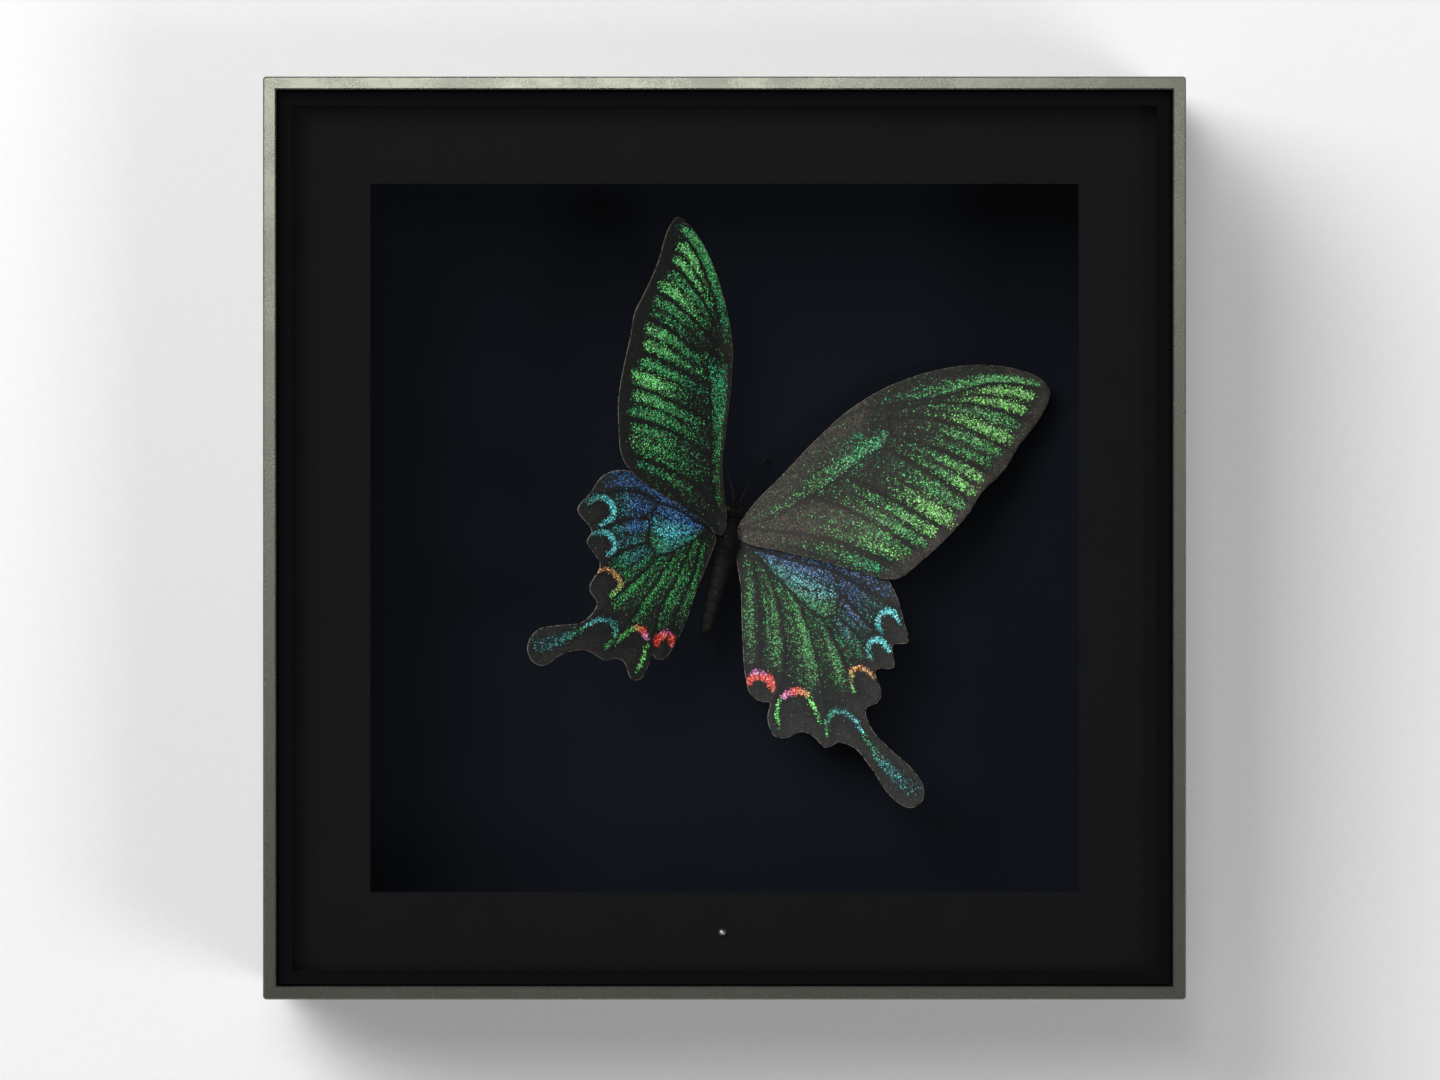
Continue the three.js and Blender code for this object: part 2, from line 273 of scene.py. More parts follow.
def buildStudio():
    wall = bpy.data.meshes.new("wall")
    reach, gap = studio["wallReach"], studio["wallGap"]
    corners = [(x * reach, gap, z * reach) for x, z in ((-1, -1), (1, -1), (1, 1), (-1, 1))]
    wall.from_pydata(corners, [], [(0, 1, 2, 3)])
    wall.materials.append(wallFinish())
    wallPlane = bpy.data.objects.new("wall", wall)
    bpy.context.scene.collection.objects.link(wallPlane)
    for name, place, aim, width, watts in studio["lamps"]:
        lamp = bpy.data.lights.new(name, "AREA")
        lamp.size, lamp.energy = width, watts
        holder = bpy.data.objects.new(name, lamp)
        holder.location = place
        holder.rotation_euler = (Vector(aim) - Vector(place)).to_track_quat("-Z", "Y").to_euler()
        holder.visible_camera = False
        bpy.context.scene.collection.objects.link(holder)
    bpy.context.scene.world = roomFinish()
    bpy.context.scene.view_settings.view_transform = "Standard"


buildStudio()
print("studio set")


# the box: metal frame, black liner, pane, mat, spacers and boards
frameMetal = {"pale": (0.2, 0.208, 0.168), "dark": (0.158, 0.164, 0.135), "cloud": 9.0, "fine": 0.5,
              "gloss": (0.225, 0.265)}


def frameMetalFinish():
    f = Finish("frameMetal")
    cloud = f.noise(frameMetal["cloud"], 4, 0.62)
    fine = f.noise(frameMetal["fine"], 3, 0.6)
    worn = f.step(cloud + 0.25 * fine, 0.42, 0.8)
    colour = f.mix(worn, shade(frameMetal["pale"], 1), shade(frameMetal["dark"], 1))
    low, high = frameMetal["gloss"]
    rough = low + (high - low) * worn + 0.05 * fine
    return f.coated({"Base Color": colour, "Metallic": 1.0, "Roughness": rough,
                     "Normal": f.bump(cloud + 0.2 * fine, 0.02, 0.12)})


linerBlack = {"tone": (14, 14, 16), "grain": 0.25}


def linerFinish():
    f = Finish("linerBlack")
    grain = f.noise(linerBlack["grain"], 3, 0.6)
    dark = tone(*linerBlack["tone"])
    colour = f.mix(grain, dark, shade(dark, 0.55))
    return f.coated({"Base Color": colour, "Roughness": 0.75 + 0.2 * grain, "Specular IOR Level": 0.04,
                     "Normal": f.bump(grain, 0.02, 0.5)})


clearPane = {"shine": 0.9, "roughness": 0.03, "bending": 1.45, "clear": (0.985, 0.99, 0.985, 1)}


def paneFinish():
    f = Finish("clearPane")
    facing = 1 - f.node("ShaderNodeNewGeometry", out="Backfacing")
    gleam = f.node("ShaderNodeFresnel", {}, {"IOR": clearPane["bending"]})
    clear = f.node("ShaderNodeBsdfTransparent", {}, {"Color": clearPane["clear"]})
    gloss = f.node("ShaderNodeBsdfGlossy", {}, {"Roughness": clearPane["roughness"]})
    return f.close(f.blend(gleam * facing * clearPane["shine"], clear, gloss))


matBoard = {"tone": (18, 18, 20), "fleck": (27, 27, 30), "grain": 0.35, "cloud": 9.0}


def matFinish():
    f = Finish("matCharcoal")
    grain = f.noise(matBoard["grain"], 4, 0.65)
    cloud = f.noise(matBoard["cloud"], 3, 0.5)
    fleck = f.step(grain, 0.58, 0.75)
    colour = f.mix(fleck * 0.6 + 0.3 * cloud, tone(*matBoard["tone"]), tone(*matBoard["fleck"]))
    return f.coated({"Base Color": colour, "Roughness": 0.78 + 0.2 * grain, "Specular IOR Level": 0.06,
                     "Normal": f.bump(grain, 0.05, 0.4)})


backing = {"tone": (14, 19, 28), "thread": 0.4, "cloud": 14.0}


def backingFinish():
    f = Finish("backingNavy")
    grain = f.noise(backing["thread"], 3, 0.6)
    cloud = f.noise(backing["cloud"], 3, 0.5)
    dark = tone(*backing["tone"])
    colour = f.mix(0.6 * grain + 0.4 * cloud, shade(dark, 0.7), shade(dark, 1.3))
    return f.coated({"Base Color": colour, "Roughness": 0.9, "Specular IOR Level": 0.1,
                     "Normal": f.bump(grain, 0.02, 0.25)})


spacer = {"dark": (14, 14, 16), "pale": (24, 24, 27), "grain": 0.5}


def spacerFinish():
    f = Finish("spacerBlack")
    grain = f.noise(spacer["grain"], 3, 0.6)
    colour = f.mix(grain, tone(*spacer["dark"]), tone(*spacer["pale"]))
    return f.coated({"Base Color": colour, "Roughness": 0.8 + 0.15 * grain, "Specular IOR Level": 0.15,
                     "Normal": f.bump(grain, 0.04, 0.5)})


backPanel = {"pale": (146, 118, 88), "dark": (104, 80, 58), "fibre": 1.4, "chip": 420.0, "cloud": 22.0}


def panelFinish():
    f = Finish("panelBoard")
    fibre = f.noise(backPanel["fibre"], 5, 0.7, f.stretched(1, 1, 2.2))
    cell = {"Vector": f.at, "Scale": backPanel["chip"]}
    chip = f.node("ShaderNodeTexVoronoi", {"feature": "F1"}, cell, "Distance")
    cloud = f.noise(backPanel["cloud"], 3, 0.5)
    mark = f.step(fibre + 0.35 * chip, 0.45, 0.85)
    colour = f.mix(0.7 * mark + 0.3 * cloud, tone(*backPanel["pale"]), tone(*backPanel["dark"]))
    return f.coated({"Base Color": colour, "Roughness": 0.7 + 0.2 * fibre, "Specular IOR Level": 0.25,
                     "Normal": f.bump(fibre, 0.08, 0.5)})


stud = {"tone": (0.42, 0.42, 0.41), "radius": 0.9, "height": 0.8, "place": (-0.4, -49.6, -73.0)}


def studFinish():
    f = Finish("studMetal")
    tarnish = f.noise(0.5, 3, 0.6)
    pale = stud["tone"]
    colour = f.mix(tarnish, shade(pale, 1), shade(pale, 0.5))
    return f.coated({"Base Color": colour, "Metallic": 1.0, "Roughness": 0.26 + 0.16 * tarnish})


def buildStud():
    r, h = stud["radius"], stud["height"]
    profile = [(1.0, 0.0), (1.0, 0.1), (0.97, 0.17), (0.88, 0.36), (0.74, 0.58), (0.55, 0.79),
               (0.3, 0.94), (0.12, 0.99)]  # share of the radius, share of the height
    sides, points = 32, []
    for out, up in profile:
        for i in range(sides):
            a = 2 * math.pi * i / sides
            points.append((out * r * math.cos(a), -up * h, out * r * math.sin(a)))
    points += [(0, -h, 0), (0, 0, 0)]
    faces = ringFaces(len(profile) - 1, sides)
    last = (len(profile) - 1) * sides
    for i in range(sides):
        k = (i + 1) % sides
        faces.append((last + i, last + k, len(points) - 2))
        faces.append((k, i, len(points) - 1))
    addPiece("matStud", np.array(points) + stud["place"], faces, studFinish(), "stud_metal", ["mat_stud"])


dress(frameMetalFinish(), "metal_frame")
dress(linerFinish(), "liner")
dress(paneFinish(), "glazing")
dress(matFinish(), "mat")
dress(spacerFinish(), "top_spacer", "bottom_spacer", "left_spacer", "right_spacer")
dress(backingFinish(), "backing_board")
dress(panelFinish(), "back_panel")
buildStud()
print("box dressed")


# the wings: each lies on a bowed sheet that leaves the thorax, places in mm as seen from the front
thorax = np.array([0.5, -18.0, -0.4])
rightSheet = {"side": 1, "root": 1.0, "rise": 0.1, "bow": 0.0017, "pitch": -0.158}
leftSheet = {"side": -1, "root": 1.6, "rise": 0.92, "bow": 0.004, "pitch": 0.16}
wingMesh = {"step": 0.34, "thick": 0.14, "veinRise": 0.07, "veinWidth": 0.22, "hollow": 0.14,
            "hollowWidth": 1.3, "hindDrop": 1.1}
wingPaint = {"streakWidth": 0.185, "leastWidth": 0.38, "spotWidth": (0.55, 0.72, 0.55),
             "spotFade": (0.75, 1, 1, 0.75), "veinWidth": 0.34, "foldWidth": 0.4, "foldDark": 0.7,
             "grooveDark": 0.85}

# each wing's tint of its streak colours stands in for how the light falls on that wing: painted light, the
# right wings warmer and duller, the left ones cooler
rightForewing = {
    "sheet": rightSheet, "drop": 0.0, "lightingTint": (1.15, 0.8, 0.85), "fade": (0.12, 0.42, 1, 0.9),
    "darkSpot": (29.2, 21.9, 2.3),
    "outline": [
        (2.4, 1.7), (5, 5.8), (11.4, 12.4), (17.3, 18.6), (23.7, 24.3), (31.1, 28.7), (38.8, 31.4),
        (47.1, 32.7), (54.9, 32), (59.9, 30), (61.5, 27.6), (59.9, 23.2), (55.3, 17), (52.8, 12.8),
        (48.4, 8.5), (46.5, 5.3), (42.4, 0.6), (36.9, -4.5), (32.2, -7.7), (22.8, -5.6), (11.9, -2.7),
        (4.5, -1.1), (2.4, 0.2)],
    "margin": (8, 19),
    "veins": {
        "r4": [(30.6, 25.1), (36.6, 25.9), (43, 27.2), (49.4, 29), (54.4, 29.1), (60.8, 28)],
        "r5": [(31.1, 24.3), (38.8, 25.4), (45.7, 25.4), (51.7, 24.1), (59, 21.6)],
        "m1": [(31.1, 22.5), (37.9, 22.7), (43.9, 21.3), (50.3, 18.4), (55.1, 15.6)],
        "m2": [(31.3, 19.3), (36.6, 17.9), (43.4, 15.4), (47.5, 13.4), (51.4, 11.3)],
        "m3": [(30.4, 17.2), (36.6, 13.6), (41.1, 10.6), (44.8, 8.1), (47.5, 6)],
        "cu1": [(22.8, 11.8), (30.1, 8.1), (36.6, 4.4), (42.7, 0.8)],
        "cu2": [(16.4, 8.1), (23.7, 5.1), (32, 0.5), (37.9, -3.4)],
        "an": [(3.2, 1.9), (10.5, 1.2), (17.8, 0.2), (22.8, -1.1), (29.7, -4), (33.6, -6.9)],
        "cellTop": [(2.9, 3.3), (13.7, 15.2), (21, 22.1), (25.1, 24), (30.6, 25.1)],
        "cellLow": [(2.9, 1.9), (10.5, 4.7), (16.4, 8.1), (22.4, 11.8), (26.9, 15.4), (30.4, 17.5),
                    (31.3, 19.3)],
        "cellEnd": [(30.6, 25.1), (30.8, 22.3), (31.3, 19.3)]},
    "edges": {
        "costal": [(30.1, 26.4), (36.6, 27.9), (43.4, 29.7), (50.3, 30.8), (56.2, 30.4), (60.3, 28.9)],
        "hind": [(6.8, -0.6), (16, -3.3), (23.7, -6.1), (29.2, -8.1)]},
}
leftForewing = {
    "sheet": leftSheet, "drop": 0.0, "lightingTint": (0.85, 0.92, 1.1), "fade": (0.22, 0.6, 1, 0.9),
    "darkSpot": (-1.0, 33.6, 1.7),
    "more": [("cellLow", "cellTop", 0.5, 0.02, 0.85, 2.4, "leaf leaf emerald", 0.8)],
    "outline": [
        (-0.3, 0.7), (0.4, 3.3), (-0.1, 8.6), (-0.4, 13.8), (0.5, 21.7), (1.4, 30.2), (1.4, 37.3),
        (-0.3, 45.7), (-3.2, 53.5), (-6.3, 58.1), (-8.7, 59.8), (-10.4, 57.7), (-12.6, 50.8),
        (-15, 45.4), (-16.7, 41.9), (-17.6, 37), (-18.4, 33.6), (-19.7, 26.2), (-19.7, 20.4),
        (-19.2, 15.5), (-17.5, 12.5), (-14, 9.6), (-8.4, 6.2), (-3.5, 2.8), (-1.6, 0.9)],
    "margin": (9, 21),
    "veins": {
        "r4": [(-0.3, 36.8), (-1.6, 43.3), (-3.2, 48.3), (-4.8, 52.2), (-6.6, 55.2), (-8.7, 57.1)],
        "r5": [(-0.8, 36.4), (-2.9, 42.5), (-5.6, 46.7), (-8.2, 49.5), (-11.2, 51.4)],
        "m1": [(-1.5, 36), (-4.8, 39.9), (-7.9, 42.8), (-10.6, 44.7), (-13.4, 46.3)],
        "m2": [(-2.2, 35.6), (-5.2, 35), (-9.1, 38.1), (-12.1, 39.9), (-15.3, 41.1)],
        "m3": [(-2.9, 28.6), (-4.5, 29.4), (-8.7, 31.7), (-12.6, 33.6), (-16.1, 35)],
        "cu1": [(-2.7, 21.9), (-9.8, 25.6), (-14, 27.4), (-18.4, 28.8)],
        "cu2": [(-2.7, 15.4), (-7.1, 18.3), (-12.4, 20.9), (-18.7, 22.3)],
        "an": [(0.5, 2.5), (-1.9, 5.9), (-5.8, 10.1), (-10.3, 12.8), (-14.5, 14.6), (-19.2, 15.9)],
        "cellTop": [(0.2, 4), (-0.6, 11.2), (-0.1, 19), (0.9, 27.6), (0.7, 32.8), (-0.3, 36.8)],
        "cellLow": [(-0.1, 4), (-1.6, 6.6), (-2.5, 10.5), (-2.4, 16.4), (-2.6, 25), (-3.2, 32.8),
                    (-2.2, 35.6)],
        "cellEnd": [(-2.2, 35.6), (-1.2, 36.2), (-0.3, 36.8)]},
    "edges": {
        "costal": [(1.1, 38.1), (0.5, 43.3), (-1, 48.6), (-2.8, 53.3), (-5.2, 56.7), (-7.9, 58.8)],
        "hind": [(-4.5, 5.8), (-8.5, 8.2), (-12.4, 11.1), (-16.1, 13.1)]},
}
rightHindwing = {
    "sheet": rightSheet, "drop": wingMesh["hindDrop"], "lightingTint": (0.85, 0.62, 0.6),
    "fade": (0.5, 0.9, 1, 0.6),
    "outline": [
        (2.5, -2.1), (3.1, -9.8), (3.4, -19.2), (3.9, -25.8), (5, -29.5), (7.2, -30.8), (8.5, -30.9),
        (8.1, -33.9), (9.3, -37.1), (11.6, -37.5), (14.4, -36.4), (16.5, -37.1), (19.1, -39.4),
        (21.4, -38.4), (24.5, -39.5), (27.6, -43.3), (31.4, -48.7), (34.9, -50.6), (37.1, -49.3),
        (37.2, -46.3), (34.9, -43), (31, -39.5), (27.6, -35.7), (26.6, -32), (28.7, -30.9),
        (29.5, -29.4), (28.5, -24.8), (31.8, -24.3), (31.7, -20.2), (34.5, -19.6), (33.8, -15.8),
        (32.1, -10.2), (30, -7), (23.6, -3.4), (14.2, -0.9), (4.8, 0)],
    "margin": (3, 33),
    "veins": {
        "rs": [(4.9, -1.9), (14.5, -4.6), (20.3, -6.1), (26.8, -9.7), (31.8, -12.8), (33.5, -14.7)],
        "m1": [(21.7, -10.1), (25.3, -14.2), (28.7, -17.6), (32.6, -19.9)],
        "m2": [(21, -14.4), (24.5, -17.8), (27.2, -21.3), (29.7, -24.5)],
        "m3": [(18.4, -15.1), (21.4, -20.9), (24.1, -27.4), (26.8, -32.8)],
        "cu1": [(13.7, -11.3), (16, -17.4), (18, -25.9), (19.1, -33.2), (20.1, -38.5)],
        "cu2": [(7.6, -5.1), (10.3, -12.8), (11.4, -20.5), (10.7, -26.6), (9.2, -30.7)],
        "an": [(5.3, -4.4), (6.3, -11.3), (6.6, -17.4), (6.6, -23.6), (6.6, -30.3)],
        "cellLow": [(4.9, -1.9), (7.6, -5.1), (13.7, -11.2), (18.4, -15), (21, -14.4)],
        "cellEnd": [(20.3, -6.1), (21.7, -10.1), (21, -14.4)],
        "tail": [(26.8, -32.8), (29.5, -38.5), (32.6, -43.1), (35.6, -47.4)]},
    "edges": {
        "costal": [(9.1, -1.1), (19.1, -3.8), (26, -5.9), (31, -8.4)],
        "inner": [(3.8, -2.8), (3, -11.3), (2.8, -19.7), (3.8, -27.4)]},
    "moons": {
        "upper": [(29.5, -18), (28.9, -15.7), (29.8, -14), (31.6, -14), (33, -15.9)],
        "second": [(27.6, -22.5), (27, -20.6), (27.9, -19.2), (29.5, -19.3), (31.1, -21.3)],
        "orange": [(28.3, -26.2), (26, -24.5), (24.1, -24.8), (23.8, -26.6), (24.3, -28.9)],
        "tailRoot": [(19.4, -37), (19.3, -34.7), (20.1, -32.9), (21.8, -32.5), (23.9, -33.6), (26, -36.6)],
        "tailStripe": [(26, -36.6), (29.1, -41.2), (32.2, -44.7), (35.1, -46.7)],
        "lowOuter": [(18, -34.8), (16.9, -32), (15.7, -29.4)],
        "lowTop": [(15.7, -29.4), (14.2, -28.8), (12.4, -29), (10.9, -29.9)],
        "lowInner": [(10.9, -29.9), (10.1, -31.2), (9.9, -33.6), (10.4, -35.7)],
        "innerRed": [(8.6, -27.6), (8, -26.5), (6.6, -26), (5, -26.4), (4.5, -27.2)],
        "innerTop": [(7.9, -25.8), (6.5, -25.3), (5.1, -25.6)],
        "innerLimb": [(8.4, -25.5), (9, -27), (9.2, -28.8)]},
}
leftHindwing = {
    "sheet": leftSheet, "drop": wingMesh["hindDrop"], "lightingTint": (0.9, 1.0, 1.05), "fade": (0.6, 1, 1, 0.6),
    "outline": [
        (-1.6, 0), (-2.9, -4), (-5.1, -9.5), (-7.2, -15.7), (-9.4, -20.1), (-11.3, -22.7),
        (-12.8, -22.7), (-13.5, -21.8), (-14.3, -24), (-15.8, -26.5), (-17.4, -26.4), (-18.9, -23.1),
        (-20.5, -22.5), (-22.1, -22.9), (-26, -20.9), (-30.1, -21.6), (-33.5, -23.7), (-35.5, -23.1),
        (-36.6, -20.3), (-34.8, -17.1), (-30.7, -16.2), (-26.4, -15.6), (-23.8, -12.3), (-25.2, -9.3),
        (-23.2, -5), (-25.6, -0.7), (-24.7, 1.3), (-27.3, 5.3), (-25.1, 8.2), (-22.6, 11.6),
        (-19.1, 12.7), (-13.9, 10.8), (-7.4, 6.5), (-2.3, 1.5)],
    "margin": (4, 31),
    "veins": {
        "rs": [(-3.5, 1.9), (-8.5, 5.3), (-12.6, 6.6), (-15.6, 8.3), (-19, 8.9), (-25.2, 7.9)],
        "m1": [(-13.9, 3.7), (-17.1, 3.6), (-20.8, 2.7), (-24.5, 1.3)],
        "m2": [(-14.3, -0.9), (-17.4, -1.7), (-20.5, -3.1), (-23.3, -5.4)],
        "m3": [(-12.2, -3.4), (-15.6, -6.8), (-19.6, -10.2), (-23.3, -13.6), (-26.4, -15.4)],
        "cu1": [(-9.1, -2.3), (-12.8, -8.3), (-16.2, -12.9), (-19, -17), (-22.1, -22.2)],
        "cu2": [(-6, -0.7), (-9.1, -7.7), (-11.9, -12.6), (-13.3, -16.7), (-13.9, -21.9)],
        "an": [(-4, 0.7), (-6.3, -8), (-8.5, -12.9), (-10.3, -17.3), (-11.7, -22.8)],
        "cellLow": [(-3.5, 1.4), (-6, -0.6), (-9.1, -2.2), (-12.2, -3.3), (-14.3, -0.9)],
        "cellEnd": [(-12.6, 6.6), (-13.9, 3.7), (-14.3, -0.9)],
        "tail": [(-26.4, -15.4), (-29.5, -17.3), (-32.6, -19.1), (-34.7, -20.4)]},
    "edges": {
        "costal": [(-4.8, 4), (-9.1, 6.8), (-12.8, 9.3), (-16.5, 12.1), (-19, 12.9)],
        "inner": [(-3.2, -0.9), (-4.4, -6.5), (-6.3, -12), (-8.2, -17.3)]},
    "moons": {
        "upper": [(-25.5, 6.6), (-23.3, 7.7), (-21.7, 7.1), (-20.5, 5), (-21.3, 3.4), (-23, 2.4)],
        "second": [(-24.5, 0.7), (-22.9, 1.2), (-21.4, 0.6), (-20.4, -0.9), (-20.8, -2.4), (-21.7, -3.1)],
        "orange": [(-23.4, -6.1), (-21.7, -5.8), (-20.1, -7.1), (-19.3, -8.3), (-20.1, -9.8),
                   (-21.2, -10.8)],
        "tailRoot": [(-22.1, -20.4), (-20.5, -18.5), (-20.4, -16.7), (-21.4, -15.5), (-23.3, -15.2),
                     (-25.8, -16.4)],
        "tailStripe": [(-25.8, -16.4), (-28.7, -17.9), (-31.6, -19.2), (-34.4, -20.1)],
        "lowOuter": [(-20.5, -19.8), (-18.4, -17.9), (-16.5, -16.7)],
        "lowTop": [(-16.5, -16.7), (-15.6, -17), (-14.6, -18.8)],
        "lowInner": [(-14.6, -20.1), (-15.2, -22.6), (-16.5, -25)],
        "innerRed": [(-12.7, -19.8), (-12.2, -18.6), (-11.1, -18.1), (-10.1, -18.6), (-9.8, -19.7)],
        "innerTop": [(-12, -18), (-11, -17.6), (-10.1, -18)],
        "innerLimb": [(-9.8, -19.3), (-9.8, -19.8), (-10, -20.3)]},
}

scales = {name: tone(*colour)[:3] for name, colour in {
    "leaf": (70, 182, 92), "lime": (118, 224, 112), "emerald": (34, 172, 108), "moss": (66, 122, 72),
    "teal": (52, 150, 150), "blue": (58, 118, 184), "cyan": (98, 214, 220), "orange": (232, 158, 92),
    "red": (222, 58, 40), "pink": (214, 124, 190)}.items()}

# streaks between two lines: lines, share of the way across, start, end, breadth, scales along it, strength
forewingStreaks = [
    ("costal", "r4", 0.5, 0.0, 0.95, 3.0, "emerald leaf leaf", 1.25),
    ("r4", "r5", 0.27, 0.35, 0.9, 1.0, "leaf lime lime", 1.2),
    ("r4", "r5", 0.72, 0.22, 0.88, 1.0, "leaf lime lime", 1.1),
    ("r5", "m1", 0.25, 0.05, 0.86, 1.1, "moss leaf leaf", 0.85),
    ("r5", "m1", 0.7, 0.2, 0.86, 1.4, "leaf lime lime", 1.15),
    ("m1", "m2", 0.27, 0.12, 0.87, 1.1, "moss leaf leaf", 0.85),
    ("m1", "m2", 0.72, 0.2, 0.87, 0.8, "moss leaf leaf", 0.7),
    ("m2", "m3", 0.27, 0.02, 0.87, 1.05, "leaf leaf lime", 1.0),
    ("m2", "m3", 0.72, 0.05, 0.87, 1.0, "leaf leaf lime", 1.0),
    ("m3", "cu1", 0.26, 0.06, 0.87, 0.9, "emerald leaf leaf", 0.85),
    ("m3", "cu1", 0.7, 0.32, 0.87, 1.3, "leaf lime lime", 1.15),
    ("cu1", "cu2", 0.26, 0.08, 0.87, 0.9, "leaf leaf lime", 0.95),
    ("cu1", "cu2", 0.72, 0.06, 0.88, 1.0, "leaf leaf leaf", 0.85),
    ("cu2", "an", 0.22, 0.2, 0.89, 0.75, "moss leaf leaf", 0.8),
    ("cu2", "an", 0.55, 0.25, 0.89, 0.8, "leaf leaf lime", 0.85),
    ("cu2", "an", 0.84, 0.3, 0.88, 0.5, "moss leaf leaf", 0.55),
    ("an", "hind", 0.5, 0.2, 0.9, 1.2, "moss leaf emerald", 0.7),
    ("cellLow", "cellTop", 0.17, 0.1, 0.95, 1.1, "leaf leaf emerald", 0.75),
    ("cellLow", "cellTop", 0.45, 0.3, 0.8, 0.8, "moss moss emerald", 0.35)]
hindwingStreaks = [
    ("costal", "rs", 0.3, 0.08, 0.95, 1.6, "blue blue blue", 0.9),
    ("rsOut", "m1", 0.45, 0.0, 0.55, 2.3, "blue blue teal", 0.8),
    ("m1", "m2", 0.3, 0.0, 0.55, 1.4, "blue blue teal", 0.9),
    ("m1", "m2", 0.72, 0.0, 0.5, 1.2, "teal teal teal", 0.65),
    ("m2", "m3", 0.3, 0.0, 0.56, 1.4, "teal teal emerald", 0.9),
    ("m2", "m3", 0.72, 0.0, 0.5, 1.1, "emerald emerald leaf", 0.6),
    ("m3", "cu1", 0.32, 0.0, 0.64, 1.3, "emerald leaf leaf", 1.1),
    ("m3", "cu1", 0.74, 0.0, 0.5, 0.9, "leaf leaf moss", 0.5),
    ("cu1", "cu2", 0.3, 0.0, 0.64, 1.2, "leaf leaf leaf", 1.1),
    ("cu1", "cu2", 0.74, 0.0, 0.55, 0.9, "leaf leaf moss", 0.55),
    ("cu2", "an", 0.42, 0.02, 0.74, 1.6, "leaf leaf leaf", 1.0),
    ("an", "inner", 0.5, 0.04, 0.76, 1.4, "leaf leaf moss", 0.85),
    ("rsIn", "cellLow", 0.15, 0.03, 0.97, 1.4, "blue blue blue", 1.1),
    ("rsIn", "cellLow", 0.48, 0.06, 0.97, 1.3, "blue cyan cyan", 1.05),
    ("rsIn", "cellLow", 0.82, 0.05, 0.97, 1.2, "emerald teal leaf", 1.1)]
# spots on the hind margin: line, half width in mm, scales along it, strength
hindwingMoons = [
    ("upper", 0.9, "teal cyan cyan", 1.5),
    ("second", 0.85, "teal cyan cyan", 1.5),
    ("orange", 0.7, "orange orange lime", 1.4),
    ("tailRoot", 0.75, "leaf teal cyan", 1.2),
    ("tailStripe", (0.9, 1.3, 2.3), "leaf teal teal", 0.75),
    ("lowOuter", 0.62, "leaf lime lime", 1.2),
    ("lowTop", 0.9, "orange red pink", 2.0),
    ("lowInner", 0.62, "lime lime leaf", 1.2),
    ("innerTop", 0.8, "pink pink pink", 1.5),
    ("innerRed", 1.1, "red red red", 2.4),
    ("innerLimb", 0.75, "red red red", 1.6)]


def gapTo(points, path):  # distance to a path, and the share of the way along it
    a, b = path[:-1], path[1:]
    way = b - a
    size = np.linalg.norm(way, axis=1)
    run = np.r_[0, np.cumsum(size)]
    best, along = np.full(len(points), 1e9), np.zeros(len(points))
    for i in range(len(a)):
        share = np.clip((points - a[i]) @ way[i] / size[i] ** 2, 0, 1)
        gap = np.linalg.norm(points - a[i] - share[:, None] * way[i], axis=1)
        near = gap < best
        best[near], along[near] = gap[near], (run[i] + share[near] * size[i]) / run[-1]
    return best, along


def evenLine(points, count=20):
    path = smoothPath(points, 0.5)
    share = np.linspace(0, 1, len(path))
    return np.column_stack([np.interp(np.linspace(0, 1, count), share, path[:, i]) for i in (0, 1)])


def insideOutline(points, outline):
    inside = np.zeros(len(points), bool)
    x, z = points.T
    for (x1, z1), (x2, z2) in zip(outline, np.roll(outline, -1, axis=0)):
        if z1 != z2:
            inside ^= ((z1 > z) != (z2 > z)) & (x < (x2 - x1) * (z - z1) / (z2 - z1) + x1)
    return inside


def between(lines, first, second, across, start, end):  # a line between two others, and the room there
    a, b = evenLine(lines[first]), evenLine(lines[second])
    share, keep = np.linspace(0, 1, len(a)), np.linspace(start, end, 16)
    room = np.interp(keep, share, np.linalg.norm(b - a, axis=1))
    path = (1 - across) * a + across * b
    return np.column_stack([np.interp(keep, share, path[:, i]) for i in (0, 1)]), room


